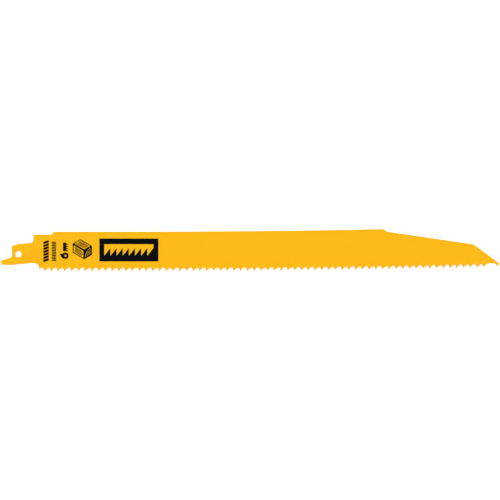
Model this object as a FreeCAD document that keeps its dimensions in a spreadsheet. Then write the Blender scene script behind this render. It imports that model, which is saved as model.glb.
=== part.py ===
import FreeCAD, Part
import math
import os
from collections import namedtuple

import Sketcher

# A reciprocating saw blade: one flat strip of steel that lies on its side.
# The origin is the centre of the hole in the tang, half way through the thickness.
# +X runs to the nose, +Y to the blade's back and +Z up out of its side, and the teeth point to -Y.
# Lengths are in millimetres and angles in degrees. Places, heights and drops are counted from the origin.

SIZES = {
    "thickness": 1.27,
    # The tang, which the saw's clamp holds, is canted to the blade about its hole.
    "tang_height": 12.7,
    "tang_cant": 5.7,
    "hole_diameter": 4.05,
    "tang_rear": 3.92,  # from the hole back to the tang's rear edge
    "chamfer_length": 4.1,  # along the tang's upper edge
    "chamfer_drop": 0.8,  # down its rear edge
    "tang_corner_radius": 0.5,
    # The lug reaches back under the rear edge.
    "lug_reach": 11.04,
    "lug_break": 3.69,  # behind the hole, where the tang's lower edge turns level
    "lug_end_height": 2.85,
    "lug_slope": 16.5,
    "lug_top_radius": 0.8,
    "lug_bottom_radius": 1.7,
    "lug_root_radius": 1.9,
    # The back climbs from the tang over a shoulder and a shelf.
    "shoulder_x": 9.35,
    "shoulder_root_radius": 1.8,
    "shelf_height": 12.35,
    "shelf_corner_radius": 1.1,
    "shelf_end_x": 21.63,
    "shelf_root_radius": 0.95,
    "back_height": 14.1,
    "back_corner_radius": 0.5,
    # Further on it is swept up a little, then steps down to the tip.
    "back_sweep_start": 70.2,
    "back_sweep_radius": 7750.0,
    "tip_length": 72.69,  # from the nose back to the step
    "step_run": 2.25,
    "step_drop": 1.565,
    "tip_slope": 8.34,
    # The nose is a pointed tooth of its own, under a steeper slope.
    "nose_reach": 301.29,
    "nose_slope_length": 16.19,
    "nose_corner_radius": 0.65,
    "nose_edge_height": 2.15,
    "nose_edge_lean": 38.0,
    "nose_face_height": 2.22,
    "nose_face_lean": 16.0,
    # The heel is where the lower edge of the tang drops to the row of teeth.
    "heel_x": 12.92,
    "heel_radius": 3.4,
    # The row of teeth is straight at first and then swept up.
    "first_tooth": 16.0,
    "end_gap": 9.29,  # the least from the last set tooth's tip to the nose
    "tooth_sweep_start": 96.6,
    "tooth_sweep_radius": 7790.0,
    "tooth_pitch": 4.2333,
    "tip_drop": 10.72,
    "tip_land": 0.08,  # the tip's small flat
    "rake": 4.9,  # how far a cutting face leans back from square
    "deep_gullet": 2.35,
    "deep_clearance": 46.4,  # from the row's line up the tooth's back, before a deep gullet
    "shallow_gullet": 2.12,
    "shallow_clearance": 41.3,
    "end_gullet_depth": 2.5,
    "end_clearance": 47.0,
    "end_gullet_radius": 1.0,
    # Teeth lean to either side in turn.
    "tooth_set": 0.25,
    "bend_height": 1.2,  # from the tip up to the bend
    # How the blank and its cutters overlap, none of which shows on the finished blade.
    "blank_margin": 1.42,  # from the tips up to the blank's lower edge
    "root_overlap": 0.25,
    "overcut": 0.6,
}

# Sizes that follow from the ones above, each as a formula of the sheet.
WORKED_OUT = {
    # The tang is canted about the hole, and its edges lie half its height above and below it.
    "tang_half": "tang_height / 2",
    "shoulder_root_y": "tang_half / cos(tang_cant) + shoulder_x * tan(tang_cant)",
    "heel_root_y": "heel_x * tan(tang_cant) - tang_half / cos(tang_cant)",
    "chamfer_top_x": "(chamfer_length - tang_rear) * cos(tang_cant) - tang_half * sin(tang_cant)",
    "chamfer_top_y": "(chamfer_length - tang_rear) * sin(tang_cant) + tang_half * cos(tang_cant)",
    "chamfer_rear_x": "-tang_rear * cos(tang_cant) - (tang_half - chamfer_drop) * sin(tang_cant)",
    "chamfer_rear_y": "-tang_rear * sin(tang_cant) + (tang_half - chamfer_drop) * cos(tang_cant)",
    # The lug has a level underside, and a sloping top that runs into the tang's rear edge.
    "lug_end_x": "-lug_reach",
    "lug_break_x": "-lug_break",
    "lug_bottom_y": "-tang_half / cos(tang_cant) - lug_break * tan(tang_cant)",
    "lug_top_y": "lug_bottom_y + lug_end_height",
    "lug_root_x": "-(tang_rear + sin(tang_cant) * (lug_top_y + lug_reach * tan(lug_slope)))"
                  " / (cos(tang_cant) + tan(lug_slope) * sin(tang_cant))",
    "lug_root_y": "lug_top_y + (lug_root_x + lug_reach) * tan(lug_slope)",
    # The back runs level, then on a wide arc, and steps down to the sloping tip.
    "back_end": "nose_reach - tip_length",
    "back_end_y": "back_height + back_sweep_radius"
                  " - sqrt(back_sweep_radius ^ 2 - (back_end - back_sweep_start) ^ 2)",
    "step_foot_x": "back_end + step_run",
    "step_foot_y": "back_end_y - step_drop",
    "slope_end": "nose_reach - nose_slope_length",
    "slope_end_y": "step_foot_y - (slope_end - step_foot_x) * tan(tip_slope)",
    # Deep and shallow gullets take turns, so the row repeats every two teeth.
    "pair_pitch": "2 * tooth_pitch",
    "pair_start": "first_tooth - tooth_pitch",
    "straight_pairs": "floor((tooth_sweep_start - pair_start) / pair_pitch)",
    "straight_length": "(straight_pairs - 1) * pair_pitch",
    "swept_start": "pair_start + straight_pairs * pair_pitch",
    "swept_pairs": "floor((nose_reach - end_gap - swept_start) / pair_pitch)",
    "tip_y": "-tip_drop",
    "sweep_centre_y": "tooth_sweep_radius - tip_drop",
    "sweep_step": "pair_pitch / tooth_sweep_radius * 180 / pi",
    "land_half": "tip_land / 2",
    # The last set tooth is the second of its pair, turned about the far centre with the whole pair.
    "last_pair_turn": "(swept_pairs - 1) * sweep_step",
    "last_land_reach": "swept_start + pair_pitch + land_half - tooth_sweep_start",
    "last_land_x": "tooth_sweep_start + last_land_reach * cos(last_pair_turn)"
                   " + tooth_sweep_radius * sin(last_pair_turn)",
    "last_land_y": "sweep_centre_y + last_land_reach * sin(last_pair_turn)"
                   " - tooth_sweep_radius * cos(last_pair_turn)",
    # The nose hangs on the height of the last tooth.
    "end_floor_y": "last_land_y + end_gullet_depth",
    "nose_tip_y": "end_floor_y - nose_face_height",
    "nose_y": "nose_tip_y + nose_edge_height",
    "nose_tip_x": "nose_reach - nose_edge_height * tan(nose_edge_lean)",
    "nose_face_x": "nose_tip_x - nose_face_height * tan(nose_face_lean)",
    "nose_block_y": "nose_tip_y - overcut",
    "nose_block_x": "nose_tip_x - overcut * tan(nose_edge_lean)",
    # The blank's lower edge follows the tips, and carries the roots of the teeth.
    "blank_edge_y": "blank_margin - tip_drop",
    "blank_sweep_radius": "tooth_sweep_radius - blank_margin",
    "blank_end_x": "nose_face_x - end_gullet_radius",
    "blank_end_y": "sweep_centre_y - sqrt(blank_sweep_radius ^ 2 - (blank_end_x - tooth_sweep_start) ^ 2)",
    # A set tooth stands upright at its root and leans below the bend. Its heights are from the tip.
    "tooth_root": "blank_margin + root_overlap",
    "top_side": "thickness / 2",
    "under_side": "-top_side",
    "up_near": "tooth_set - top_side",
    "up_far": "tooth_set + top_side",
    "down_near": "-up_near",
    "down_far": "-up_far",
    # It starts a fifth of a pitch before its tip and is nine tenths wide, so its ends fall in the gullets.
    "up_tooth_lead": "tooth_pitch - tooth_pitch / 5",
    "down_tooth_lead": "up_tooth_lead + tooth_pitch",
    "tooth_width": "tooth_pitch * 9 / 10",
    # Below the tips the cutters of the gullets reach down past the strip.
    "level": "0",
    "cutter_y": "-overcut",
    "gullet_width": "tooth_pitch - tip_land",
    # The end gullet lies between the last set tooth's land and the nose.
    "end_rise_x": "last_land_x + end_gullet_depth / tan(end_clearance)",
    "end_cutter_y": "nose_block_y - overcut",
    "end_cutter_x": "nose_face_x + (end_floor_y - end_cutter_y) * tan(nose_face_lean)",
}

# One corner of an outline, in names from the sheet: its place, the radius that rounds it, and the radius
# of the side from it to the next corner, where that side is a wide arc about a centre above the blade.
Corner = namedtuple("Corner", "x y rounding sweep", defaults=(None, None))

BLANK = [
    Corner("heel_x", "blank_edge_y"),
    Corner("tooth_sweep_start", "blank_edge_y", sweep="blank_sweep_radius"),
    Corner("blank_end_x", "blank_end_y"),
    Corner("blank_end_x", "nose_block_y"),
    Corner("nose_block_x", "nose_block_y"),
    Corner("nose_reach", "nose_y", "nose_corner_radius"),
    Corner("slope_end", "slope_end_y"),
    Corner("step_foot_x", "step_foot_y"),
    Corner("back_end", "back_end_y", sweep="back_sweep_radius"),
    Corner("back_sweep_start", "back_height"),
    Corner("shelf_end_x", "back_height", "back_corner_radius"),
    Corner("shelf_end_x", "shelf_height", "shelf_root_radius"),
    Corner("shoulder_x", "shelf_height", "shelf_corner_radius"),
    Corner("shoulder_x", "shoulder_root_y", "shoulder_root_radius"),
    Corner("chamfer_top_x", "chamfer_top_y", "tang_corner_radius"),
    Corner("chamfer_rear_x", "chamfer_rear_y", "tang_corner_radius"),
    Corner("lug_root_x", "lug_root_y", "lug_root_radius"),
    Corner("lug_end_x", "lug_top_y", "lug_top_radius"),
    Corner("lug_end_x", "lug_bottom_y", "lug_bottom_radius"),
    Corner("lug_break_x", "lug_bottom_y"),
    Corner("heel_x", "heel_root_y", "heel_radius"),
]

END_GULLET = [
    Corner("last_land_x", "last_land_y"),
    Corner("end_rise_x", "end_floor_y", "end_gullet_radius"),
    Corner("nose_face_x", "end_floor_y", "end_gullet_radius"),
    Corner("end_cutter_x", "end_cutter_y"),
    Corner("last_land_x", "end_cutter_y"),
]


def set_tooth_corners(near, far, near_side, far_side):
    """The section of a tooth, along Y from its tip and across the thickness, that leans to its far side."""
    return [
        Corner("level", near),
        Corner("level", far),
        Corner("bend_height", far_side),
        Corner("tooth_root", far_side),
        Corner("tooth_root", near_side),
        Corner("bend_height", near_side),
    ]


def gullet_cells(kind, start):
    """Formulas for a gullet that starts at a tip: a circle that touches the clearance line of that tooth,
    the level of the gullet's floor and the raked face of the next tooth."""
    slope = f"{kind}_clearance"
    return {
        f"{kind}_start_x": f"{start} + land_half",
        f"{kind}_end_x": f"{start} + tooth_pitch - land_half",
        f"{kind}_corner_y": f"gullet_width / (1 / tan({slope}) + tan(rake))",
        f"{kind}_corner_x": f"{kind}_start_x + {kind}_corner_y / tan({slope})",
        f"{kind}_radius": f"(gullet_width * sin({slope})"
                          f" - {kind}_gullet * (tan(rake) * sin({slope}) + cos({slope})))"
                          f" / (1 + sin({slope}) * (1 / cos(rake) - tan(rake)) - cos({slope}))",
    }


def gullet_corners(kind):
    """The outline that a gullet's cutter has, up the clearance line, round and down the next tooth's face."""
    return [
        Corner(f"{kind}_start_x", "level"),
        Corner(f"{kind}_corner_x", f"{kind}_corner_y", f"{kind}_radius"),
        Corner(f"{kind}_end_x", "level"),
        Corner(f"{kind}_end_x", "cutter_y"),
        Corner(f"{kind}_start_x", "cutter_y"),
    ]


def make_sheet(doc):
    """Fills the sheet with one row for each size: its name, and its value with that name as its alias."""
    sheet = doc.addObject("Spreadsheet::Sheet", "Sizes")
    rows = {name: str(value) for name, value in SIZES.items()}
    formulas = WORKED_OUT | gullet_cells("deep", "level") | gullet_cells("shallow", "tooth_pitch")
    rows.update({name: "=" + formula for name, formula in formulas.items()})
    for row, (name, content) in enumerate(rows.items(), start=1):
        sheet.set(f"A{row}", name)
        sheet.set(f"B{row}", content)
        sheet.setAlias(f"B{row}", name)
    doc.recompute()
    return sheet


class Outline:
    """A closed outline in a sketch, whose corners and radii are tied to the sheet."""

    ORIGIN = (-1, 1)
    START, END, CENTRE = range(1, 4)

    def __init__(self, sketch, sheet, corners):
        self.sketch = sketch
        self.sheet = sheet
        self.corners = corners
        self.spots = [FreeCAD.Vector(sheet.get(corner.x), sheet.get(corner.y), 0) for corner in corners]
        self.draw()

    def bind(self, kind, ends, name):
        """Adds a constraint whose size is a cell of the sheet."""
        index = self.sketch.addConstraint(Sketcher.Constraint(kind, *ends, self.sheet.get(name)))
        self.sketch.setExpression(f"Constraints[{index}]", f"Sizes.{name}")

    def join(self, kind, *ends):
        """Adds a constraint that has no size."""
        self.sketch.addConstraint(Sketcher.Constraint(kind, *ends))

    def place(self, geometry, end, corner):
        """Ties a point to its corner's place from the sketch's origin."""
        self.bind("DistanceX", (*self.ORIGIN, geometry, end), corner.x)
        self.bind("DistanceY", (*self.ORIGIN, geometry, end), corner.y)

    def directions(self, index):
        """Unit vectors along the sides that arrive at a corner and leave it."""
        here = self.spots[index]
        following = self.spots[(index + 1) % len(self.spots)]
        arriving = (here - self.spots[index - 1]).normalize()
        leaving = (following - here).normalize()
        return arriving, leaving

    def trim(self, index):
        """How much a rounded corner takes off each of its sides."""
        rounding = self.corners[index].rounding
        if rounding is None:
            return 0.0
        arriving, leaving = self.directions(index)
        return self.sheet.get(rounding) * math.tan(arriving.getAngle(leaving) / 2)

    def add_side(self, index):
        """Adds the side from a corner to the next. Gives its geometry and which ends come first and last."""
        following = (index + 1) % len(self.spots)
        leaving = self.directions(index)[1]
        first = self.spots[index] + leaving * self.trim(index)
        last = self.spots[following] - leaving * self.trim(following)
        sweep = self.corners[index].sweep
        if sweep is None:
            return self.sketch.addGeometry(Part.LineSegment(first, last)), self.START, self.END
        left, right = sorted((first, last), key=lambda spot: spot.x)
        side = self.sketch.addGeometry(self.arc_below(left, right, self.sheet.get(sweep)))
        self.bind("Radius", (side,), sweep)
        if left is first:
            return side, self.START, self.END
        return side, self.END, self.START

    @staticmethod
    def arc_below(left, right, radius):
        """An arc from left to right that hangs below its centre."""
        chord = right - left
        upright = FreeCAD.Vector(-chord.y, chord.x, 0).normalize()
        height = math.sqrt(radius ** 2 - (chord.Length / 2) ** 2)
        centre = (left + right) / 2 + upright * height
        angles = [math.atan2(spot.y - centre.y, spot.x - centre.x) for spot in (left, right)]
        return Part.ArcOfCircle(Part.Circle(centre, FreeCAD.Vector(0, 0, 1), radius), *angles)

    def round_corner(self, index, before, after):
        """Adds the arc that touches both sides of a corner, and a point where the sides would meet."""
        corner = self.corners[index]
        arriving, leaving = self.directions(index)
        radius = self.sheet.get(corner.rounding)
        turn = 1 if arriving.cross(leaving).z > 0 else -1
        touch = self.spots[index] - arriving * self.trim(index)
        centre = touch + FreeCAD.Vector(-arriving.y, arriving.x, 0) * radius * turn
        begin = math.atan2(touch.y - centre.y, touch.x - centre.x)
        sweep = arriving.getAngle(leaving) * turn
        circle = Part.Circle(centre, FreeCAD.Vector(0, 0, 1), radius)
        arc = self.sketch.addGeometry(Part.ArcOfCircle(circle, *sorted((begin, begin + sweep))))
        first, last = (self.START, self.END) if turn > 0 else (self.END, self.START)
        point = self.sketch.addGeometry(Part.Point(self.spots[index]), True)
        self.place(point, self.START, corner)
        self.join("PointOnObject", point, self.START, before[0])
        self.join("PointOnObject", point, self.START, after[0])
        self.join("Tangent", before[0], before[2], arc, first)
        self.join("Tangent", arc, last, after[0], after[1])
        self.bind("Radius", (arc,), corner.rounding)

    def draw(self):
        """Adds the sides, then joins them corner by corner."""
        sides = [self.add_side(index) for index in range(len(self.corners))]
        for index, corner in enumerate(self.corners):
            before, after = sides[index - 1], sides[index]
            if corner.rounding is None:
                self.join("Coincident", before[0], before[2], after[0], after[1])
                self.place(after[0], after[1], corner)
            else:
                self.round_corner(index, before, after)


def origin_feature(body, role):
    """One of the body's own planes or axes."""
    return next(feature for feature in body.Origin.OriginFeatures if feature.Role == role)


def add_sketch(body, name, plane, **offset):
    """Adds a sketch on one of the body's planes, shifted by cells of the sheet along its own axes."""
    sketch = body.newObject("Sketcher::SketchObject", name)
    sketch.AttachmentSupport = [(origin_feature(body, plane), "")]
    sketch.MapMode = "FlatFace"
    for axis, formula in offset.items():
        sketch.setExpression(f"AttachmentOffset.Base.{axis}", formula)
    return sketch


def cut_through(body, name, sketch):
    """Cuts a sketch through the whole thickness, to both sides of the middle plane."""
    pocket = body.newObject("PartDesign::Pocket", name)
    pocket.Profile = sketch
    pocket.Type = "ThroughAll"
    pocket.SideType = "Symmetric"
    return pocket


def add_blank(body, sheet):
    """The strip's side view without its set teeth, at full thickness."""
    sketch = add_sketch(body, "blank_outline", "XY_Plane")
    Outline(sketch, sheet, BLANK)
    pad = body.newObject("PartDesign::Pad", "blank")
    pad.Profile = sketch
    pad.SideType = "Symmetric"
    pad.setExpression("Length", "Sizes.thickness")


def add_tang_hole(body, sheet):
    """The round hole that the saw's clamp pin goes through."""
    diameter = sheet.get("hole_diameter")
    sketch = add_sketch(body, "hole_outline", "XY_Plane")
    circle = sketch.addGeometry(Part.Circle(FreeCAD.Vector(), FreeCAD.Vector(0, 0, 1), diameter / 2))
    sketch.addConstraint(Sketcher.Constraint("Coincident", circle, Outline.CENTRE, *Outline.ORIGIN))
    index = sketch.addConstraint(Sketcher.Constraint("Diameter", circle, diameter))
    sketch.setExpression(f"Constraints[{index}]", "Sizes.hole_diameter")
    cut_through(body, "tang_hole", sketch)


def add_set_tooth(body, sheet, name, start, lead, corners):
    """One tooth's piece of strip, bent to one side. The gullets beside it give it its shape."""
    place = f"Sizes.{start} + Sizes.{lead}"
    sketch = add_sketch(body, f"{name}_section", "YZ_Plane", x="Sizes.tip_y", z=place)
    Outline(sketch, sheet, corners)
    pad = body.newObject("PartDesign::Pad", name)
    pad.Profile = sketch
    pad.setExpression("Length", "Sizes.tooth_width")
    return pad


def add_tooth_pair(body, sheet, row, start):
    """The first two teeth of a row, one bent up and one bent down."""
    up = set_tooth_corners("up_near", "up_far", "under_side", "top_side")
    down = set_tooth_corners("down_near", "down_far", "top_side", "under_side")
    return [
        add_set_tooth(body, sheet, f"{row}_up_tooth", start, "up_tooth_lead", up),
        add_set_tooth(body, sheet, f"{row}_down_tooth", start, "down_tooth_lead", down),
    ]


def cut_gullet_pair(body, sheet, row, start):
    """The first deep and shallow gullet of a row."""
    sketch = add_sketch(body, f"{row}_gullet_outline", "XY_Plane", x=f"Sizes.{start}", y="Sizes.tip_y")
    Outline(sketch, sheet, gullet_corners("deep"))
    Outline(sketch, sheet, gullet_corners("shallow"))
    return [cut_through(body, f"{row}_gullets", sketch)]


def repeat_straight(body, name, originals):
    """Repeats features along the straight part of the row."""
    pattern = body.newObject("PartDesign::LinearPattern", name)
    pattern.Originals = originals
    pattern.Direction = (origin_feature(body, "X_Axis"), [""])
    pattern.setExpression("Length", "Sizes.straight_length")
    pattern.setExpression("Occurrences", "Sizes.straight_pairs")
    body.Tip = pattern


def repeat_swept(body, name, originals, axis):
    """Repeats features along the swept part of the row, about its far centre."""
    pattern = body.newObject("PartDesign::PolarPattern", name)
    pattern.Originals = originals
    pattern.Axis = (axis, [""])
    pattern.Mode = "Spacing"
    pattern.setExpression("Offset", "Sizes.sweep_step")
    pattern.setExpression("Occurrences", "Sizes.swept_pairs")
    body.Tip = pattern


def add_sweep_axis(body):
    """The line, square to the blade, that the swept part of the row turns about."""
    axis = body.newObject("PartDesign::Line", "sweep_axis")
    axis.AttachmentSupport = [(origin_feature(body, "XY_Plane"), "")]
    axis.MapMode = "ObjectZ"
    axis.setExpression("AttachmentOffset.Base.x", "Sizes.tooth_sweep_start")
    axis.setExpression("AttachmentOffset.Base.y", "Sizes.sweep_centre_y")
    return axis


def add_teeth(body, sheet):
    """Both rows of set teeth, then the gullets that part them."""
    axis = add_sweep_axis(body)
    repeat_straight(body, "straight_teeth", add_tooth_pair(body, sheet, "straight", "pair_start"))
    repeat_swept(body, "swept_teeth", add_tooth_pair(body, sheet, "swept", "swept_start"), axis)
    repeat_straight(body, "straight_row", cut_gullet_pair(body, sheet, "straight", "pair_start"))
    repeat_swept(body, "swept_row", cut_gullet_pair(body, sheet, "swept", "swept_start"), axis)


def cut_end_gullet(body, sheet):
    """The wide gullet between the last set tooth and the pointed nose."""
    sketch = add_sketch(body, "end_gullet_outline", "XY_Plane")
    Outline(sketch, sheet, END_GULLET)
    body.Tip = cut_through(body, "end_gullet", sketch)


def check(doc, body):
    """Stops before anything is written if a feature or the blade itself is not sound."""
    failed = [item.Name for item in doc.Objects if {"Invalid", "Error"} & set(item.State)]
    if failed:
        raise RuntimeError(f"not sound: {failed}")
    if body.Shape.isNull() or not body.Shape.isValid():
        raise RuntimeError("the blade has no valid shape")


def main():
    doc = FreeCAD.newDocument("saw_blade")
    sheet = make_sheet(doc)
    body = doc.addObject("PartDesign::Body", "blade")
    body.Label = "blade"
    add_blank(body, sheet)
    add_tang_hole(body, sheet)
    add_teeth(body, sheet)
    cut_end_gullet(body, sheet)
    doc.recompute()
    check(doc, body)
    os.makedirs("parts", exist_ok=True)
    body.Shape.exportStep(f"parts/{body.Label}.step")


main()
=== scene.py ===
"""A painted reciprocating saw blade, lying on its side on a white floor and seen straight from above.

The strip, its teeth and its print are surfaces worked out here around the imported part, in metres and in its frame:
the origin is the centre of the tang's hole, +X runs to the nose, +Y to the back and +Z up out of the printed side.
"""

import bpy
import numpy as np
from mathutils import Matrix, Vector, geometry


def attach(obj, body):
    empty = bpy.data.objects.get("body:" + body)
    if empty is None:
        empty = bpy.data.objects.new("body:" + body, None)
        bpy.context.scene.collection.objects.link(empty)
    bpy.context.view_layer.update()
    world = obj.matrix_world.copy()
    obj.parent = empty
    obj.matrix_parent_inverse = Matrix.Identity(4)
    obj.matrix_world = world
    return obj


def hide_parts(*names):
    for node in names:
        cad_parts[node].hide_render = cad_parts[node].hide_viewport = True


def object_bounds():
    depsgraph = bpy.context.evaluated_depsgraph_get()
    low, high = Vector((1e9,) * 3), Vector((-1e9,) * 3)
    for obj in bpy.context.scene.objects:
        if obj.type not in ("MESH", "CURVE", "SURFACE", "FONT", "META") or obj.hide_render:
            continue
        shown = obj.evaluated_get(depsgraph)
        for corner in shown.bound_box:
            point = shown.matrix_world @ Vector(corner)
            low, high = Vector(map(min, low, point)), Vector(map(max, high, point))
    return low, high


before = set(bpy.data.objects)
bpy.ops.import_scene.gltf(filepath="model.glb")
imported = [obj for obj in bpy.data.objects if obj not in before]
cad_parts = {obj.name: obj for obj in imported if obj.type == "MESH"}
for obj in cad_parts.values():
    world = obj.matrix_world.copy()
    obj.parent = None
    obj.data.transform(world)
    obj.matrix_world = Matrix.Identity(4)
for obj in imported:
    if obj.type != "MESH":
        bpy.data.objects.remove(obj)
cad_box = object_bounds()

# The strip and its tang, which is canted about its hole.
HALF_THICK = 0.000635
HOLE_RADIUS = 0.002025
TANG_HALF = 0.00635
TANG_CANT = np.radians(5.7)
TANG_REAR = 0.00392
TANG_ROUNDING = 0.0005
CHAMFER_LENGTH = 0.0041
CHAMFER_DROP = 0.0008
LUG_REACH = 0.01104
LUG_END = 0.00285
LUG_SLOPE = np.radians(16.5)
LUG_ROOT_RADIUS = 0.0019
LUG_TOP_RADIUS = 0.0008
LUG_BOTTOM_RADIUS = 0.0017
LUG_BREAK = 0.00369
LUG_BREAK_RADIUS = 0.005

# The back, from the shoulder to the nose. Heights are from the hole.
SHOULDER_X = 0.00935
SHOULDER_RADIUS = 0.0018
SHELF_HEIGHT = 0.01235
SHELF_RADIUS = 0.0011
SHELF_END_X = 0.02163
SHELF_ROOT_RADIUS = 0.00095
BACK_HEIGHT = 0.0141
BACK_ROUNDING = 0.0005
BACK_SWEEP_START = 0.0702
BACK_SWEEP_RADIUS = 7.75
BACK_SWEEP_STOPS = 9
BACK_SWEEP_ROUNDING = 0.1
BACK_END = 0.2286
STEP_RUN = 0.00225
STEP_DROP = 0.001565
TIP_SLOPE = np.radians(8.34)
NOSE_SLOPE_X = 0.2851
NOSE_REACH = 0.30129
NOSE_ROUNDING = 0.00065
NOSE_EDGE = 0.00215
NOSE_EDGE_LEAN = np.radians(38.0)
NOSE_FACE = 0.00222
NOSE_FACE_LEAN = np.radians(16.0)

# The row of teeth: level from the heel, and further on swept up about a far centre.
HEEL_X = 0.01292
HEEL_DROP = 0.0093
HEEL_RADIUS = 0.0034
TEETH = 66
FIRST_TOOTH = 0.016
PITCH = 0.0042333
TIP_DROP = 0.01072
SWEEP_START = 0.0966
SWEEP_RADIUS = 7.79
TIP_LAND = 0.00008
RAKE = np.radians(4.9)
DEEP_GULLET = (0.00235, np.radians(46.4))
SHALLOW_GULLET = (0.00212, np.radians(41.3))
END_GULLET_DEPTH = 0.0025
END_GULLET_RADIUS = 0.001
END_CLEARANCE = np.radians(47.0)
TOOTH_SET = 0.00025
BEND_UP = 0.0012
BEND_SOFTNESS = 0.3
SIDE_CHANGE = 0.2

# The painted edges. A rim is as far in from the outline as the painted shade along an edge reaches. An edge's rows
# are, on each side of the strip, two on the face and then those of the rounding. Two places that lie closer than
# CLOSEST would be one.
EDGE_ROUNDING = 0.0001
TOOTH_ROUNDING = 0.00002
TIP_ROUNDING = 0.00004
CLOSEST = 1e-10
RIM = 0.0004
TOOTH_RIM = 0.00003
HEEL_RIM = 0.0001
CORNER_STEPS = 12
SIDE_STEPS = 4
EDGE_STEPS = 3
EDGE_ROWS = 2 * (EDGE_STEPS + 3)
HOLE_STEPS = 64
MIDDLE_HEIGHTS = (0.00042, 0.00078, 0.00099, 0.0012, 0.00141, 0.00162)
MIDDLE_SHARES = (0.3, 0.5, 0.7)
GULLET_SHARES = (0.08, 0.92)
GULLET_STEPS = 7

# The print on the face. A field is its left, right, low and high side.
FACE = HALF_THICK
INK = 0.000012
INK_SUNK = 0.00001
PANEL_CENTRE = (0.0692, 0.00266)
PANEL_SIZE = (0.03694, 0.01435)
SAW_SIZE = (0.0308, 0.0072)
SAW_BODY = 0.0024
SAW_TEETH = 8
COUNT_BASE = (0.03155, -0.00299)
COUNT_BOWL = 0.00205
COUNT_STROKE = 0.0014
COUNT_TAIL = 0.0034
COUNT_STEPS = 32
ROW_FIELD = (0.02798, 0.03155, 0.00189, 0.00733)
ROW_BODY = 0.0016
ROW_TEETH = 4
BOLD_BARS = (0.01571, 0.01909, -0.00499, 0.00884), 7, 0.82, 0.0011
FINE_BARS = (0.02097, 0.02372, -0.00424, 0.00784), 12, 0.7, 0.0
BEAM_FAR = (0.03885, 0.0038)
BEAM_SIZE = (0.0084, 0.0056, 0.0056)
BEAM_TURNS = np.radians((-30.0, 210.0, 90.0))
BEAM_LINE = 0.0007
GRAIN_LINE = 0.00056
GRAIN_LINES = ((0.21, 0.16, 0.8), (0.37, 0.13, 0.9), (0.53, 0.2, 0.86), (0.69, 0.14, 0.78))
RING_LINE = 0.0003
RING_RADII = (0.0014, 0.0027, 0.004)
RING_SPAN = (6, 84)
RING_STEPS = 9

# Finishes, as linear red, green and blue.
ENAMEL_LIGHT = (0.98, 0.505, 0.006, 1)
ENAMEL_DARK = (0.965, 0.49, 0.004, 1)
# The rim colour is a painted shade along the edges, not a colour of the enamel.
ENAMEL_EDGE_SHADE = (0.92, 0.42, 0.003, 1)
INK_DARK = (0.0008, 0.002, 0.0025, 1)
INK_LIGHT = (0.002, 0.004, 0.0048, 1)
PAPER = (0.9, 0.9, 0.9, 1)
WHITE = (1, 1, 1, 1)
BLACK = (0, 0, 0, 1)

# The studio. The frame is the photo's, on the plane of the printed face.
FRAME_CENTRE = (0.14501, 0.00264)
FRAME_WIDTH = 0.31291
LENS = 85.0
SENSOR = 36.0
FLOOR_SIZE = 12.0
FLOOR_GAP = 0.00001
FLOOR_NEAR = 0.5
FLOOR_FAR = 1.2
FLOOR_GLOW = 0.55
SKY = 0.12
LAMP_SIZE = 0.9
LAMPS = (
    ("lamp_left", (-1.0, 0.1, 0.8), 9.5),
    ("lamp_right", (1.3, -0.1, 0.8), 8.5),
    ("lamp_back", (0.25, 1.15, 0.8), 9.5),
    ("lamp_front", (0.05, -1.15, 0.8), 7.0),
)


def arc(centre, radius, start, end, count):
    """Points of a circle: centre + radius * (cos, sin) of count angles from start to end, in degrees."""
    angles = np.radians(np.linspace(start, end, count))
    return np.array(centre) + radius * np.stack((np.cos(angles), np.sin(angles)), -1)


def unit(vectors):
    """The vectors, each divided by its own length."""
    return vectors / np.linalg.norm(vectors, axis=-1, keepdims=True)


def on_row(along, up):
    """The place of a point by its distance along the row and its height above the line of the tips.

    Past the sweep's start the row turns about a centre one radius above the tips, by its length over that radius."""
    turn = np.maximum(along - SWEEP_START, 0) / SWEEP_RADIUS
    reach = SWEEP_RADIUS - up
    x = np.minimum(along, SWEEP_START) + reach * np.sin(turn)
    y = SWEEP_RADIUS - TIP_DROP - reach * np.cos(turn)
    return np.stack(np.broadcast_arrays(x, y), -1)


def off_row(places):
    """The way back from on_row: distance along the row, height above the tips, and the row's turn there."""
    across = np.maximum(places[..., 0] - SWEEP_START, 0)
    above = SWEEP_RADIUS - TIP_DROP - places[..., 1]
    turn = np.arctan2(across, above)
    along = np.minimum(places[..., 0], SWEEP_START) + SWEEP_RADIUS * turn
    return along, SWEEP_RADIUS - np.hypot(across, above), turn


def gullet(depth, slope):
    """The rise of the corner where a gullet's two sides would meet, its distance on from the land, and its radius.

    The circle touches the sloping line, the raked face and the level of the gullet's floor."""
    width = PITCH - TIP_LAND
    rise = width / (1 / np.tan(slope) + np.tan(RAKE))
    lean = np.tan(RAKE) * np.sin(slope) + np.cos(slope)
    across = 1 + np.sin(slope) * (1 / np.cos(RAKE) - np.tan(RAKE)) - np.cos(slope)
    return rise, rise / np.tan(slope), (width * np.sin(slope) - depth * lean) / across


def corner_row(x, y, radius, edge=EDGE_ROUNDING, shade_rim=RIM):
    """One corner of the outline: its place, the radius that rounds it, and how wide its edge and its rim of painted
    shade are.
    """
    return [x, y, radius, edge, shade_rim]


def crisp_corner(x, y):
    """A corner at the teeth, which is only as round as the paint leaves it."""
    return corner_row(x, y, TIP_ROUNDING, TOOTH_ROUNDING, TOOTH_RIM)


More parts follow.
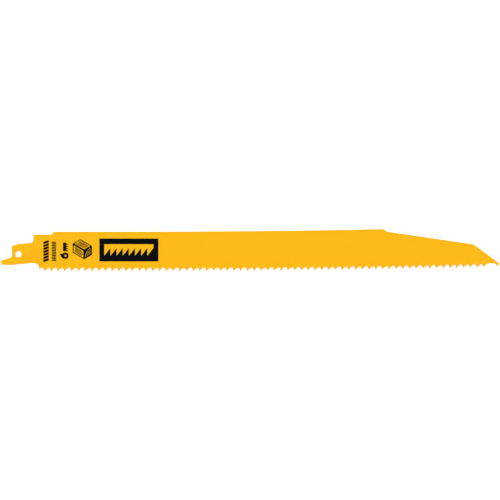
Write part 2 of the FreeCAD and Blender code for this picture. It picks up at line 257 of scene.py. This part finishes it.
def tooth_corners():
    """The corners of the row, five numbers each: for every tooth its gullet's corner and the two ends of its land."""
    number = np.arange(TEETH)
    tip = FIRST_TOOTH + PITCH * number
    kinds = np.array([gullet(*DEEP_GULLET), gullet(*SHALLOW_GULLET)])[number % 2]
    rise, run, radius = kinds.T
    places = np.stack((
        on_row(tip - PITCH + TIP_LAND / 2 + run, rise),
        on_row(tip - TIP_LAND / 2, 0),
        on_row(tip + TIP_LAND / 2, 0),
    ), 1)
    tips = np.full(TEETH, TIP_ROUNDING)
    sizes = np.zeros((TEETH, 3, 3))
    sizes[:, :, 0] = np.stack((radius, tips, tips), 1)
    sizes[:, :, 1:] = TOOTH_ROUNDING, TOOTH_RIM
    return np.concatenate((places, sizes), 2).reshape(-1, 5)


def heel_corners():
    """From the tang's lower edge down the heel to the first gullet's sloping line."""
    lower = HEEL_X * np.tan(TANG_CANT) - TANG_HALF / np.cos(TANG_CANT)
    start = FIRST_TOOTH - PITCH + TIP_LAND / 2
    meet = start + (TIP_DROP - HEEL_DROP) / np.tan(DEEP_GULLET[1])
    return [
        corner_row(HEEL_X, lower, HEEL_RADIUS, TOOTH_ROUNDING, HEEL_RIM),
        crisp_corner(HEEL_X, -HEEL_DROP),
        crisp_corner(meet, -HEEL_DROP),
    ]


def nose_corners():
    """From the last tooth's land over the wide gullet and round the pointed nose to the foot of the back's step."""
    last_x, last_y = on_row(FIRST_TOOTH + PITCH * (TEETH - 1) + TIP_LAND / 2, 0)
    floor = last_y + END_GULLET_DEPTH
    tip_x = NOSE_REACH - NOSE_EDGE * np.tan(NOSE_EDGE_LEAN)
    tip_y = floor - NOSE_FACE
    foot_x = BACK_END + STEP_RUN
    foot_y = back_sweep(BACK_END) - STEP_DROP
    return [
        corner_row(last_x + END_GULLET_DEPTH / np.tan(END_CLEARANCE), floor, END_GULLET_RADIUS),
        corner_row(tip_x - NOSE_FACE * np.tan(NOSE_FACE_LEAN), floor, END_GULLET_RADIUS),
        crisp_corner(tip_x, tip_y),
        corner_row(NOSE_REACH, tip_y + NOSE_EDGE, NOSE_ROUNDING),
        corner_row(NOSE_SLOPE_X, foot_y - (NOSE_SLOPE_X - foot_x) * np.tan(TIP_SLOPE), BACK_ROUNDING),
        corner_row(foot_x, foot_y, BACK_ROUNDING),
    ]


def back_sweep(x):
    """The height of the back past the start of its sweep, on a wide circle whose lowest point is that start."""
    return BACK_HEIGHT + BACK_SWEEP_RADIUS - np.sqrt(BACK_SWEEP_RADIUS ** 2 - (x - BACK_SWEEP_START) ** 2)


def back_corners():
    """From the step over the swept back, the shelf and the shoulder to the tang."""
    stops = np.linspace(BACK_END, BACK_SWEEP_START, BACK_SWEEP_STOPS)
    radii = np.full(BACK_SWEEP_STOPS, BACK_SWEEP_ROUNDING)
    radii[0] = BACK_ROUNDING
    sweep = [corner_row(x, back_sweep(x), radius) for x, radius in zip(stops, radii)]
    shoulder_y = TANG_HALF / np.cos(TANG_CANT) + SHOULDER_X * np.tan(TANG_CANT)
    return sweep + [
        corner_row(SHELF_END_X, BACK_HEIGHT, BACK_ROUNDING),
        corner_row(SHELF_END_X, SHELF_HEIGHT, SHELF_ROOT_RADIUS),
        corner_row(SHOULDER_X, SHELF_HEIGHT, SHELF_RADIUS),
        corner_row(SHOULDER_X, shoulder_y, SHOULDER_RADIUS),
    ]


def tang_corners():
    """The tang's rear end and the lug under it. The rear end is square to the canted tang."""
    cant = np.array([[np.cos(TANG_CANT), -np.sin(TANG_CANT)], [np.sin(TANG_CANT), np.cos(TANG_CANT)]])
    top_x, top_y = cant @ (CHAMFER_LENGTH - TANG_REAR, TANG_HALF)
    rear_x, rear_y = cant @ (-TANG_REAR, TANG_HALF - CHAMFER_DROP)
    bottom = -TANG_HALF / np.cos(TANG_CANT) - LUG_BREAK * np.tan(TANG_CANT)
    top = bottom + LUG_END
    across = np.cos(TANG_CANT) + np.tan(LUG_SLOPE) * np.sin(TANG_CANT)
    root = -(TANG_REAR + np.sin(TANG_CANT) * (top + LUG_REACH * np.tan(LUG_SLOPE))) / across
    return [
        corner_row(top_x, top_y, TANG_ROUNDING),
        corner_row(rear_x, rear_y, TANG_ROUNDING),
        corner_row(root, top + (root + LUG_REACH) * np.tan(LUG_SLOPE), LUG_ROOT_RADIUS),
        corner_row(-LUG_REACH, top, LUG_TOP_RADIUS),
        corner_row(-LUG_REACH, bottom, LUG_BOTTOM_RADIUS),
        corner_row(-LUG_BREAK, bottom, LUG_BREAK_RADIUS),
    ]


def rounded(corners, radii, insets):
    """A closed outline, anticlockwise, through rounded corners, moved inwards by its insets. Gives places and normals.

    Each corner moves along its mitre, the sum of both inward normals over 1 + their dot product. Then an arc that
    touches both sides takes its place: centre + radius * the outward normal, turned in equal steps."""
    def inwards(directions):
        return np.stack((-directions[:, 1], directions[:, 0]), -1)

    leaving = unit(np.roll(corners, -1, 0) - corners)
    arriving = np.roll(leaving, 1, 0)
    before, after = inwards(arriving), inwards(leaving)
    mitre = (before + after) / (1 + np.sum(before * after, -1, keepdims=True))
    moved = corners + mitre * insets[:, None]

    leaving = unit(np.roll(moved, -1, 0) - moved)
    arriving = np.roll(leaving, 1, 0)
    inner = inwards(arriving)
    turn = np.arctan2(np.sum(inner * leaving, -1), np.sum(arriving * leaving, -1))
    radius = radii - np.sign(turn) * insets
    tangent = (radius * np.tan(np.abs(turn) / 2))[:, None]
    swing = (radius * np.sign(turn))[:, None]
    centre = moved - arriving * tangent + inner * swing
    angles = turn[:, None] * np.linspace(0, 1, CORNER_STEPS)
    cos, sin = np.cos(angles)[..., None], np.sin(angles)[..., None]
    outwards = -inner[:, None] * cos + arriving[:, None] * sin
    arcs = centre[:, None] + outwards * swing[:, None]

    share = np.linspace(0, 1, SIDE_STEPS + 1)[1:-1, None]
    sides = arcs[:, -1:] * (1 - share) + np.roll(arcs[:, :1], -1, 0) * share
    flat = np.broadcast_to(outwards[:, -1:], sides.shape)
    places = np.concatenate((arcs, sides), 1).reshape(-1, 2)
    return places, np.concatenate((outwards, flat), 1).reshape(-1, 2)


def spread(numbers):
    """One number for each place of an outline from one for each corner, in even steps along the sides."""
    share = np.concatenate((np.zeros(CORNER_STEPS), np.linspace(0, 1, SIDE_STEPS + 1)[1:-1]))
    return (numbers[:, None] * (1 - share) + np.roll(numbers, -1)[:, None] * share).ravel()


def edge_rows(edge, shade_rim):
    """How the painted edge is carried round, from the face over its rounding to the side, for a width of each.

    Each row has its distance in from the outline, its depth below the face and how much its normal points sideways.
    The rounding is a quarter of a circle: edge * (1 - sin) in and edge * (1 - cos) down, with its normal at sin."""
    quarter = np.linspace(0, np.pi / 2, EDGE_STEPS + 1)
    face = [(shade_rim, 0 * edge, 0.0), ((shade_rim + edge) / 2, 0 * edge, 0.0)]
    return face + [(edge * (1 - np.sin(a)), edge * (1 - np.cos(a)), np.sin(a)) for a in quarter]


def both_sides(places, outwards, depth, sideways, paint):
    """The rows of one side of the strip, and then the same rows upside down in reverse order.

    Gives places, normals and the rim's painted shade as whole arrays, each row after the other."""
    height = HALF_THICK - depth
    upwards = np.sqrt(1 - sideways ** 2) + 0 * depth
    top = np.concatenate((places, height[..., None]), -1)
    top_normals = np.concatenate((outwards * sideways[..., None], upwards[..., None]), -1)
    over = np.array([1, 1, -1])
    return (
        np.concatenate((top, top[::-1] * over)).reshape(-1, 3),
        np.concatenate((top_normals, top_normals[::-1] * over)).reshape(-1, 3),
        np.concatenate((paint, paint[::-1])).ravel(),
    )


def outline_rows(corners):
    """The strip's whole edge as rows round its outline."""
    places, radii, edge, shade_rim = corners[:, :2], corners[:, 2], corners[:, 3], corners[:, 4]
    rows = edge_rows(edge, shade_rim)
    drawn = [rounded(places, radii, inset) for inset, _, _ in rows]
    return both_sides(
        np.array([row[0] for row in drawn]),
        np.array([row[1] for row in drawn]),
        np.array([spread(depth) for _, depth, _ in rows]),
        np.array([[sideways] for _, _, sideways in rows]),
        # The painted shade along the edge: full at the outline, gone a rim in.
        np.array([1 - np.clip(spread(inset) / RIM, 0, 1) for inset, _, _ in rows]),
    )


def hole_rows():
    """The edge of the tang's hole, as rings clockwise round it."""
    angles = -np.linspace(0, 2 * np.pi, HOLE_STEPS, endpoint=False)
    inwards = -np.stack((np.cos(angles), np.sin(angles)), -1)
    flat = np.ones(HOLE_STEPS)
    rows = edge_rows(EDGE_ROUNDING * flat, RIM * flat)
    return both_sides(
        np.array([-inwards * (HOLE_RADIUS + inset)[:, None] for inset, _, _ in rows]),
        np.array([inwards for _ in rows]),
        np.array([depth for _, depth, _ in rows]),
        np.array([[sideways] for _, _, sideways in rows]),
        np.array([1 - inset / RIM for inset, _, _ in rows]),
    )


def set_of_teeth(places):
    """How far the teeth's set lifts each place, and how fast that grows along X and Y.

    Below the bend the lift is the set * (bend - height) / bend, up and down in turn along the row. Round the bend
    it starts gently, as a parabola that meets the slope. A tooth begins a share of the pitch before its own tip."""
    along, up, turn = off_row(places)
    number = np.floor((along - FIRST_TOOTH) / PITCH + SIDE_CHANGE)
    side = np.where((number >= 0) & (number < TEETH), 1 - 2 * (number % 2), 0)
    depth = (BEND_UP - up) / BEND_UP
    soft = np.clip(depth + BEND_SOFTNESS, 0, 2 * BEND_SOFTNESS)
    lift = soft ** 2 / (4 * BEND_SOFTNESS) + np.maximum(depth - BEND_SOFTNESS, 0)
    slope = -side * TOOTH_SET / BEND_UP * soft / (2 * BEND_SOFTNESS)
    return side * TOOTH_SET * lift, -slope * np.sin(turn), slope * np.cos(turn)


def tooth_middles():
    """Places inside the teeth, at shares of the width between their two sides, so that the bend is smooth there too.

    Each has its share of the rim's painted shade, which grows as the tooth gets narrower."""
    number = np.arange(TEETH)[:, None, None]
    up = np.array(MIDDLE_HEIGHTS)[:, None]
    share = np.array(MIDDLE_SHARES)
    slope = np.where(number % 2 == 0, SHALLOW_GULLET[1], DEEP_GULLET[1])
    left = -TIP_LAND / 2 - up * np.tan(RAKE)
    width = TIP_LAND / 2 + up / np.tan(slope) - left
    along = FIRST_TOOTH + PITCH * number + left + width * share
    places = on_row(along, up + 0 * along)
    from_side = np.minimum(share, 1 - share) * width
    return places.reshape(-1, 2), np.clip(1 - from_side / RIM, 0, 1).ravel()


def gullet_middles():
    """Places round each gullet, half a rim and a whole rim away, where the rim's painted shade has half and wholly
    gone.

    The gullet's circle lies its radius under the floor and touches the sloping line that leaves the land before."""
    kinds = np.array([(*kind, gullet(*kind)[2]) for kind in (DEEP_GULLET, SHALLOW_GULLET)])
    number = np.arange(TEETH)
    depth, slope, radius = kinds[number % 2].T[..., None, None]
    up = depth - radius
    start = FIRST_TOOTH + PITCH * (number[:, None, None] - 1) + TIP_LAND / 2
    along = start + (radius + up * np.cos(slope)) / np.sin(slope)
    away = RIM * np.array([0.5, 1.0])[:, None]
    angle = RAKE + (np.pi / 2 + slope - RAKE) * np.linspace(*GULLET_SHARES, GULLET_STEPS)
    places = on_row(along + (radius + away) * np.cos(angle), up + (radius + away) * np.sin(angle))
    return places.reshape(-1, 2), (1 - away / RIM + 0 * angle).ravel()


def inside(spots, loop):
    """Which spots a closed outline goes round: the angles that its sides take up from there sum to a full turn."""
    start = loop - spots[:, None]
    end = np.roll(start, -1, 1)
    cross = start[..., 0] * end[..., 1] - start[..., 1] * end[..., 0]
    return np.abs(np.sum(np.arctan2(cross, np.sum(start * end, -1)), 1)) > np.pi


def filled(loops, middles):
    """Triangles that fill the first closed outline and leave out the others, with corners at all given places."""
    places = np.concatenate(loops + [middles])
    starts = np.cumsum([0] + [len(loop) for loop in loops])
    rounds = [first + np.arange(len(loop)) for first, loop in zip(starts, loops)]
    sides = np.concatenate([np.stack((steps, np.roll(steps, -1)), -1) for steps in rounds])
    made = geometry.delaunay_2d_cdt(places.tolist(), sides.tolist(), [], 1, CLOSEST)
    assert len(made[0]) == len(places), "places that fell together"
    faces = np.array(made[2])
    for hole in loops[1:]:
        faces = faces[~inside(places[faces].mean(1), hole)]
    return faces


def mesh_piece(name, places, faces, material):
    """A piece with flat faces, from whole arrays of its places and its faces."""
    mesh = bpy.data.meshes.new(name)
    mesh.from_pydata(places, [], faces)
    mesh.materials.append(material)
    piece = bpy.data.objects.new(name, mesh)
    bpy.context.scene.collection.objects.link(piece)
    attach(piece, "root")
    return piece


def ring_faces(count, first=0):
    """Four-sided faces between an edge's rows of count places each, closed round the outline."""
    row = first + count * np.arange(EDGE_ROWS - 1)[:, None]
    step = np.arange(count)
    following = (step + 1) % count
    return np.stack((row + step, row + count + step, row + count + following, row + following), -1).reshape(-1, 4)


def flat_strip():
    """The strip before its teeth are set, in one closed skin: its two edges as rings and its two faces filled.

    Gives places, normals and the rim's painted shade as whole arrays, and the faces. The places of a face are its
    edges' first or last rows and then its middles."""
    corners = np.array(heel_corners() + tooth_corners().tolist() + nose_corners() + back_corners() + tang_corners())
    outline = outline_rows(corners)
    hole = hole_rows()
    middles, middle_shade = (np.concatenate(pair) for pair in zip(tooth_middles(), gullet_middles()))
    count = len(outline[0]) // EDGE_ROWS
    flat = np.zeros((len(middles), 2))
    above = np.concatenate((middles, flat[:, :1] + HALF_THICK), 1)
    upwards = np.concatenate((flat, flat[:, :1] + 1), 1)
    places = np.concatenate((outline[0], hole[0], above, above * (1, 1, -1)))
    normals = np.concatenate((outline[1], hole[1], upwards, -upwards))
    paint = np.concatenate((outline[2], hole[2], middle_shade, middle_shade))

    first_hole = len(outline[0])
    first_middle = first_hole + len(hole[0])
    top = np.concatenate((
        np.arange(count),
        first_hole + np.arange(HOLE_STEPS),
        first_middle + np.arange(len(middles)),
    ))
    bottom = np.concatenate((
        first_hole - count + np.arange(count),
        first_middle - HOLE_STEPS + np.arange(HOLE_STEPS),
        first_middle + len(middles) + np.arange(len(middles)),
    ))
    face = filled([places[:count, :2], places[first_hole:first_hole + HOLE_STEPS, :2]], middles)
    rings = np.concatenate((ring_faces(count), ring_faces(HOLE_STEPS, first_hole)))
    fillings = np.concatenate((top[face], bottom[face][:, ::-1]))
    return places, normals, paint, rings.tolist() + fillings.tolist()


def make_strip():
    """The strip with its teeth set: places go up by the lift, and normals lean back by its slope."""
    places, normals, paint, faces = flat_strip()
    lift, slope_x, slope_y = set_of_teeth(places[:, :2])
    places[:, 2] += lift
    normals[:, 0] -= slope_x * normals[:, 2]
    normals[:, 1] -= slope_y * normals[:, 2]
    strip = mesh_piece("blade_strip", places, faces, enamel())
    # The rim attribute holds how much painted shade each place takes along the edges.
    strip.data.attributes.new("shade_rim", "FLOAT", "POINT").data.foreach_set("value", paint.astype(np.float32))
    strip.data.polygons.foreach_set("use_smooth", np.ones(len(faces), bool))
    strip.data.normals_split_custom_set_from_vertices(unit(normals))
    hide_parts("blade")


def wound(loop, way):
    """The loop, reversed unless the area that it goes round, half the sum of cross products, has the sign of way."""
    following = np.roll(loop, -1, 0)
    area = np.sum(loop[:, 0] * following[:, 1] - loop[:, 1] * following[:, 0])
    return loop if area * way > 0 else loop[::-1]


def print_piece(name, shapes, material):
    """A thin layer of ink on the face. Each shape is an outline and then the holes in it."""
    places, faces, first = [], [], 0
    for shape in shapes:
        loops = [wound(shape[0], 1)] + [wound(hole, -1) for hole in shape[1:]]
        flat = np.concatenate(loops)
        count = len(flat)
        places += [np.insert(flat, 2, FACE + INK, 1), np.insert(flat, 2, FACE - INK_SUNK, 1)]
        face = first + filled(loops, np.zeros((0, 2)))
        faces += face.tolist() + (face[:, ::-1] + count).tolist()
        start = first
        for loop in loops:
            step = start + np.arange(len(loop))
            following = np.roll(step, -1)
            faces += np.stack((step, step + count, following + count, following), -1).tolist()
            start += len(loop)
        first += 2 * count
    mesh_piece(name, np.concatenate(places), faces, material)


def rectangle(centre, size):
    """The four corners of an upright rectangle."""
    return np.array(centre) + np.array(size) / 2 * np.array([[-1, -1], [1, -1], [1, 1], [-1, 1]])


def saw_shape(length, height, body, teeth):
    """A plain saw from the origin on: a bar whose lower side is a row of equal teeth, each with an upright front."""
    fronts = np.linspace(0, length, teeth, endpoint=False)
    tips = np.stack((fronts, np.zeros(teeth)), -1)
    roots = np.stack((fronts + length / teeth, np.full(teeth, height - body)), -1)
    return np.concatenate((np.stack((tips, roots), 1).reshape(-1, 2), [[length, height], [0, height]]))


def panel_print(ink):
    """The large dark field, with a plain saw left open in it."""
    saw = PANEL_CENTRE - np.array(SAW_SIZE) / 2 + saw_shape(*SAW_SIZE, SAW_BODY, SAW_TEETH)
    print_piece("panel_print", [[rectangle(PANEL_CENTRE, PANEL_SIZE), saw]], ink)


def turned(base, plan):
    """A sign's plan, across and up, turned a quarter on its base: across becomes +Y and up becomes -X."""
    return np.array(base) + np.stack((-plan[:, 1], plan[:, 0]), -1)


def count_print(ink):
    """A plain 6: a ring, and a quarter of a larger one that leaves it at its left.

    They part where their circles meet: (apart^2 + ring^2 - inner^2) / (2 * apart) across from the ring's centre."""
    inner = COUNT_TAIL - COUNT_STROKE
    apart = COUNT_TAIL - COUNT_BOWL
    across = (apart ** 2 + COUNT_BOWL ** 2 - inner ** 2) / (2 * apart)
    rise = np.sqrt(COUNT_BOWL ** 2 - across ** 2)
    bowl_end = 360 + np.degrees(np.arctan2(rise, across))
    tail_start = np.degrees(np.arctan2(rise, across - apart))
    ring_centre, tail_centre = (COUNT_BOWL, COUNT_BOWL), (COUNT_TAIL, COUNT_BOWL)
    outline = np.concatenate((
        arc(tail_centre, COUNT_TAIL, 90, 180, COUNT_STEPS),
        arc(ring_centre, COUNT_BOWL, 180, bowl_end, COUNT_STEPS)[1:],
        arc(tail_centre, inner, tail_start, 90, COUNT_STEPS)[1:],
    ))
    hole = arc(ring_centre, COUNT_BOWL - COUNT_STROKE, 0, 360, COUNT_STEPS)[1:]
    print_piece("tooth_count_print", [[turned(COUNT_BASE, outline), turned(COUNT_BASE, hole)]], ink)


def bars(field, count, fill, slant):
    """A column of equal bars across a field, each filling a share of its step and rising by slant to the right."""
    left, right, low, high = field
    step = (high - low - slant) / (count - 1 + fill)
    corners = np.array([[left, 0], [right, slant], [right, slant + fill * step], [left, fill * step]])
    return [[corners + (0, low + step * number)] for number in range(count)]


def row_print(ink):
    """A short plain saw beside the number, turned as the number is."""
    left, right, low, high = ROW_FIELD
    row = saw_shape(high - low, right - left, ROW_BODY, ROW_TEETH)
    print_piece("tooth_row_print", [[turned((right, low), row)]], ink)


def beam_print(ink):
    """A squared timber beam seen from above a corner: two open faces with grain, and a dark end with growth rings.

    A place is start + first * one edge's direction + second * another's, with the edges a third of a turn apart."""
    length, width, height = BEAM_SIZE
    along, across, up = np.stack((np.cos(BEAM_TURNS), np.sin(BEAM_TURNS)), -1)
    far = np.array(BEAM_FAR)
    near = far + along * length + across * width

    def place(face, plan):
        start, first, second = face
        return start + plan[:, :1] * first + plan[:, 1:] * second

    def patch(left, low, right, high):
        return np.array([[left, low], [right, low], [right, high], [left, high]])

    top = (far + up * height, along, across)
    side = (far + across * width, along, up)
    end = (far + along * length, across, up)
    silhouette = np.array([near, end[0], end[0] + up * height, top[0], side[0] + up * height, side[0]])
    openings = [
        place(face, patch(BEAM_LINE, BEAM_LINE, length - BEAM_LINE, high - BEAM_LINE))
        for face, high in ((top, width), (side, height))
    ]
    grain = [
        [place(face, patch(left * length, share * high, right * length, share * high + GRAIN_LINE))]
        for face, high in ((top, width), (side, height)) for share, left, right in GRAIN_LINES
    ]
    rings = [
        place(end, np.concatenate((
            arc((BEAM_LINE, BEAM_LINE), radius, *RING_SPAN, RING_STEPS),
            arc((BEAM_LINE, BEAM_LINE), radius + RING_LINE, *RING_SPAN, RING_STEPS)[::-1],
        )))
        for radius in RING_RADII
    ]
    print_piece("beam_print", [[silhouette, *openings, *rings]] + grain, ink)


class Value:
    """A number or a colour that nodes work out. Sums on it add their own Math nodes."""

    def __init__(self, paint, socket):
        self.paint = paint
        self.socket = socket

    def math(self, operation, first, second):
        return self.paint.node("ShaderNodeMath", {"operation": operation}, {0: first, 1: second})

    def __add__(self, other):
        return self.math("ADD", self, other)

    def __sub__(self, other):
        return self.math("SUBTRACT", self, other)

    def __rsub__(self, other):
        return self.math("SUBTRACT", other, self)

    def __mul__(self, other):
        return self.math("MULTIPLY", self, other)

    def __pow__(self, other):
        return self.math("POWER", self, other)

    def __rpow__(self, other):
        return self.math("POWER", other, self)

    __radd__ = __add__
    __rmul__ = __mul__


class Paint:
    """The nodes of a new material, or of the sky, which owns them."""

    def __init__(self, owner):
        self.owner = owner
        self.owner.use_nodes = True
        self.tree = self.owner.node_tree
        self.tree.nodes.clear()

    def node(self, kind, settings, inputs, output=0):
        """Adds a node: its settings first, then the values or links of its sockets. Gives one of its outputs."""
        node = self.tree.nodes.new(kind)
        for title, value in settings.items():
            setattr(node, title, value)
        for key, value in inputs.items():
            if isinstance(value, Value):
                self.tree.links.new(value.socket, node.inputs[key])
            else:
                node.inputs[key].default_value = value
        return Value(self, node.outputs[output]) if node.outputs else None

    def place(self, scale):
        """Object coordinates, stretched by scale along each axis."""
        spot = self.node("ShaderNodeTexCoord", {}, {}, "Object")
        return self.node("ShaderNodeMapping", {}, {"Vector": spot, "Scale": scale})

    def noise(self, scale, detail=2.0):
        """Soft spots, scale of them to a metre along each axis, as a number round a half."""
        return self.node("ShaderNodeTexNoise", {}, {"Vector": self.place(scale), "Scale": 1.0, "Detail": detail})

    def blend(self, share, first, second):
        """Two colours mixed by a share of the second. A Mix node's colours are its inputs 6 and 7 and its output 2."""
        return self.node("ShaderNodeMix", {"data_type": "RGBA"}, {"Factor": share, 6: first, 7: second}, 2)

    def finish(self, shader, output="ShaderNodeOutputMaterial"):
        """Puts the shader on what owns the nodes, and gives that."""
        self.node(output, {}, {"Surface": shader})
        return self.owner


def enamel():
    """Satin yellow enamel: even, faintly clouded and dimpled, over a lengthways grain, and with a painted shade deeper
    near an edge.
    """
    paint = Paint(bpy.data.materials.new("yellow_enamel"))
    shade_rim = paint.node("ShaderNodeAttribute", {"attribute_name": "shade_rim"}, {}, "Fac")
    cloud = paint.noise((70, 140, 70), 3.0)
    dimple = paint.noise((900, 900, 900))
    grain = paint.noise((60, 5000, 60))
    body = paint.blend(cloud * 1.4 - 0.2, ENAMEL_DARK, ENAMEL_LIGHT)
    # The rim colour mixed in here is painted shade along the edges, not a colour of the enamel.
    colour = paint.blend(shade_rim ** 1.6 * 0.8, body, ENAMEL_EDGE_SHADE)
    height = dimple * 0.8 + grain * 0.2
    bump = paint.node("ShaderNodeBump", {}, {"Strength": 0.4, "Distance": 0.00004, "Height": height})
    return paint.finish(paint.node("ShaderNodeBsdfPrincipled", {}, {
        "Base Color": colour,
        "Roughness": 0.27 + cloud * 0.06 + grain * 0.04,
        "Specular IOR Level": 0.25,
        "Normal": bump,
    }))


def black_ink():
    """Screen-printed ink: nearly black, a little mottled in its gloss, with the mesh's fine dimples."""
    paint = Paint(bpy.data.materials.new("black_ink"))
    mottle = paint.noise((400, 400, 400), 4.0)
    dimple = paint.noise((3500, 3500, 3500))
    bump = paint.node("ShaderNodeBump", {}, {"Strength": 0.25, "Distance": 0.00001, "Height": dimple})
    return paint.finish(paint.node("ShaderNodeBsdfPrincipled", {}, {
        "Base Color": paint.blend(mottle, INK_DARK, INK_LIGHT),
        "Roughness": 0.24 + mottle * 0.1,
        "Specular IOR Level": 0.12,
        "Normal": bump,
    }))


def white_floor():
    """White paper that the camera and reflections see brighter than it is lit.

    It glows a little at the blade, where it keeps the shadow, and is wholly white from beyond the lamps on."""
    paint = Paint(bpy.data.materials.new("white_floor"))
    seen = paint.node("ShaderNodeLightPath", {}, {}, "Is Camera Ray")
    mirrored = paint.node("ShaderNodeLightPath", {}, {}, "Is Glossy Ray")
    spot = paint.node("ShaderNodeTexCoord", {}, {}, "Object")
    away = paint.node("ShaderNodeVectorMath", {"operation": "LENGTH"}, {0: spot}, "Value")
    far = paint.node("ShaderNodeMapRange", {}, {"Value": away, "From Min": FLOOR_NEAR, "From Max": FLOOR_FAR})
    share = (seen + mirrored) * (far * (1 - FLOOR_GLOW) + FLOOR_GLOW)
    glow = paint.node("ShaderNodeEmission", {}, {"Color": paint.blend(share, BLACK, WHITE)})
    lit = paint.node("ShaderNodeBsdfDiffuse", {}, {"Color": PAPER})
    return paint.finish(paint.node("ShaderNodeAddShader", {}, {0: lit, 1: glow}))


def make_floor():
    """A wide white sheet, just under the lowest tooth tip."""
    low = cad_box[0].z - FLOOR_GAP
    mesh = bpy.data.meshes.new("floor")
    mesh.from_pydata([(x, y, low) for x, y in rectangle((0, 0), (FLOOR_SIZE, FLOOR_SIZE))], [], [(0, 1, 2, 3)])
    mesh.materials.append(white_floor())
    floor = bpy.data.objects.new("floor", mesh)
    bpy.context.scene.collection.objects.link(floor)


def make_light():
    """A broad lamp on each side and an even dim sky. What the camera sees past the floor is white."""
    for name, place, power in LAMPS:
        lamp = bpy.data.lights.new(name, "AREA")
        lamp.shape = "SQUARE"
        lamp.size = LAMP_SIZE
        lamp.energy = power
        holder = bpy.data.objects.new(name, lamp)
        holder.location = place
        toward = Vector(FRAME_CENTRE + (0,)) - holder.location
        holder.rotation_euler = toward.to_track_quat("-Z", "Y").to_euler()
        bpy.context.scene.collection.objects.link(holder)
    sky = Paint(bpy.data.worlds.new("sky"))
    seen = sky.node("ShaderNodeLightPath", {}, {}, "Is Camera Ray")
    glow = sky.node("ShaderNodeBackground", {}, {"Color": WHITE, "Strength": seen * (1 - SKY) + SKY})
    bpy.context.scene.world = sky.finish(glow, "ShaderNodeOutputWorld")


def make_camera():
    """Straight above the middle of the photo's frame, as far up as makes the printed face fill it as in the photo."""
    camera = bpy.data.cameras.new("camera")
    camera.lens = LENS
    camera.sensor_width = SENSOR
    holder = bpy.data.objects.new("camera", camera)
    holder.location = (*FRAME_CENTRE, FACE + FRAME_WIDTH * LENS / SENSOR)
    bpy.context.scene.collection.objects.link(holder)
    bpy.context.scene.camera = holder


def main():
    """The blade, its print and then the studio."""
    ink = black_ink()
    make_strip()
    panel_print(ink)
    count_print(ink)
    row_print(ink)
    beam_print(ink)
    print_piece("bold_bars_print", bars(*BOLD_BARS), ink)
    print_piece("fine_bars_print", bars(*FINE_BARS), ink)
    make_floor()
    make_light()
    make_camera()
    bpy.context.scene.view_settings.view_transform = "Standard"


main()
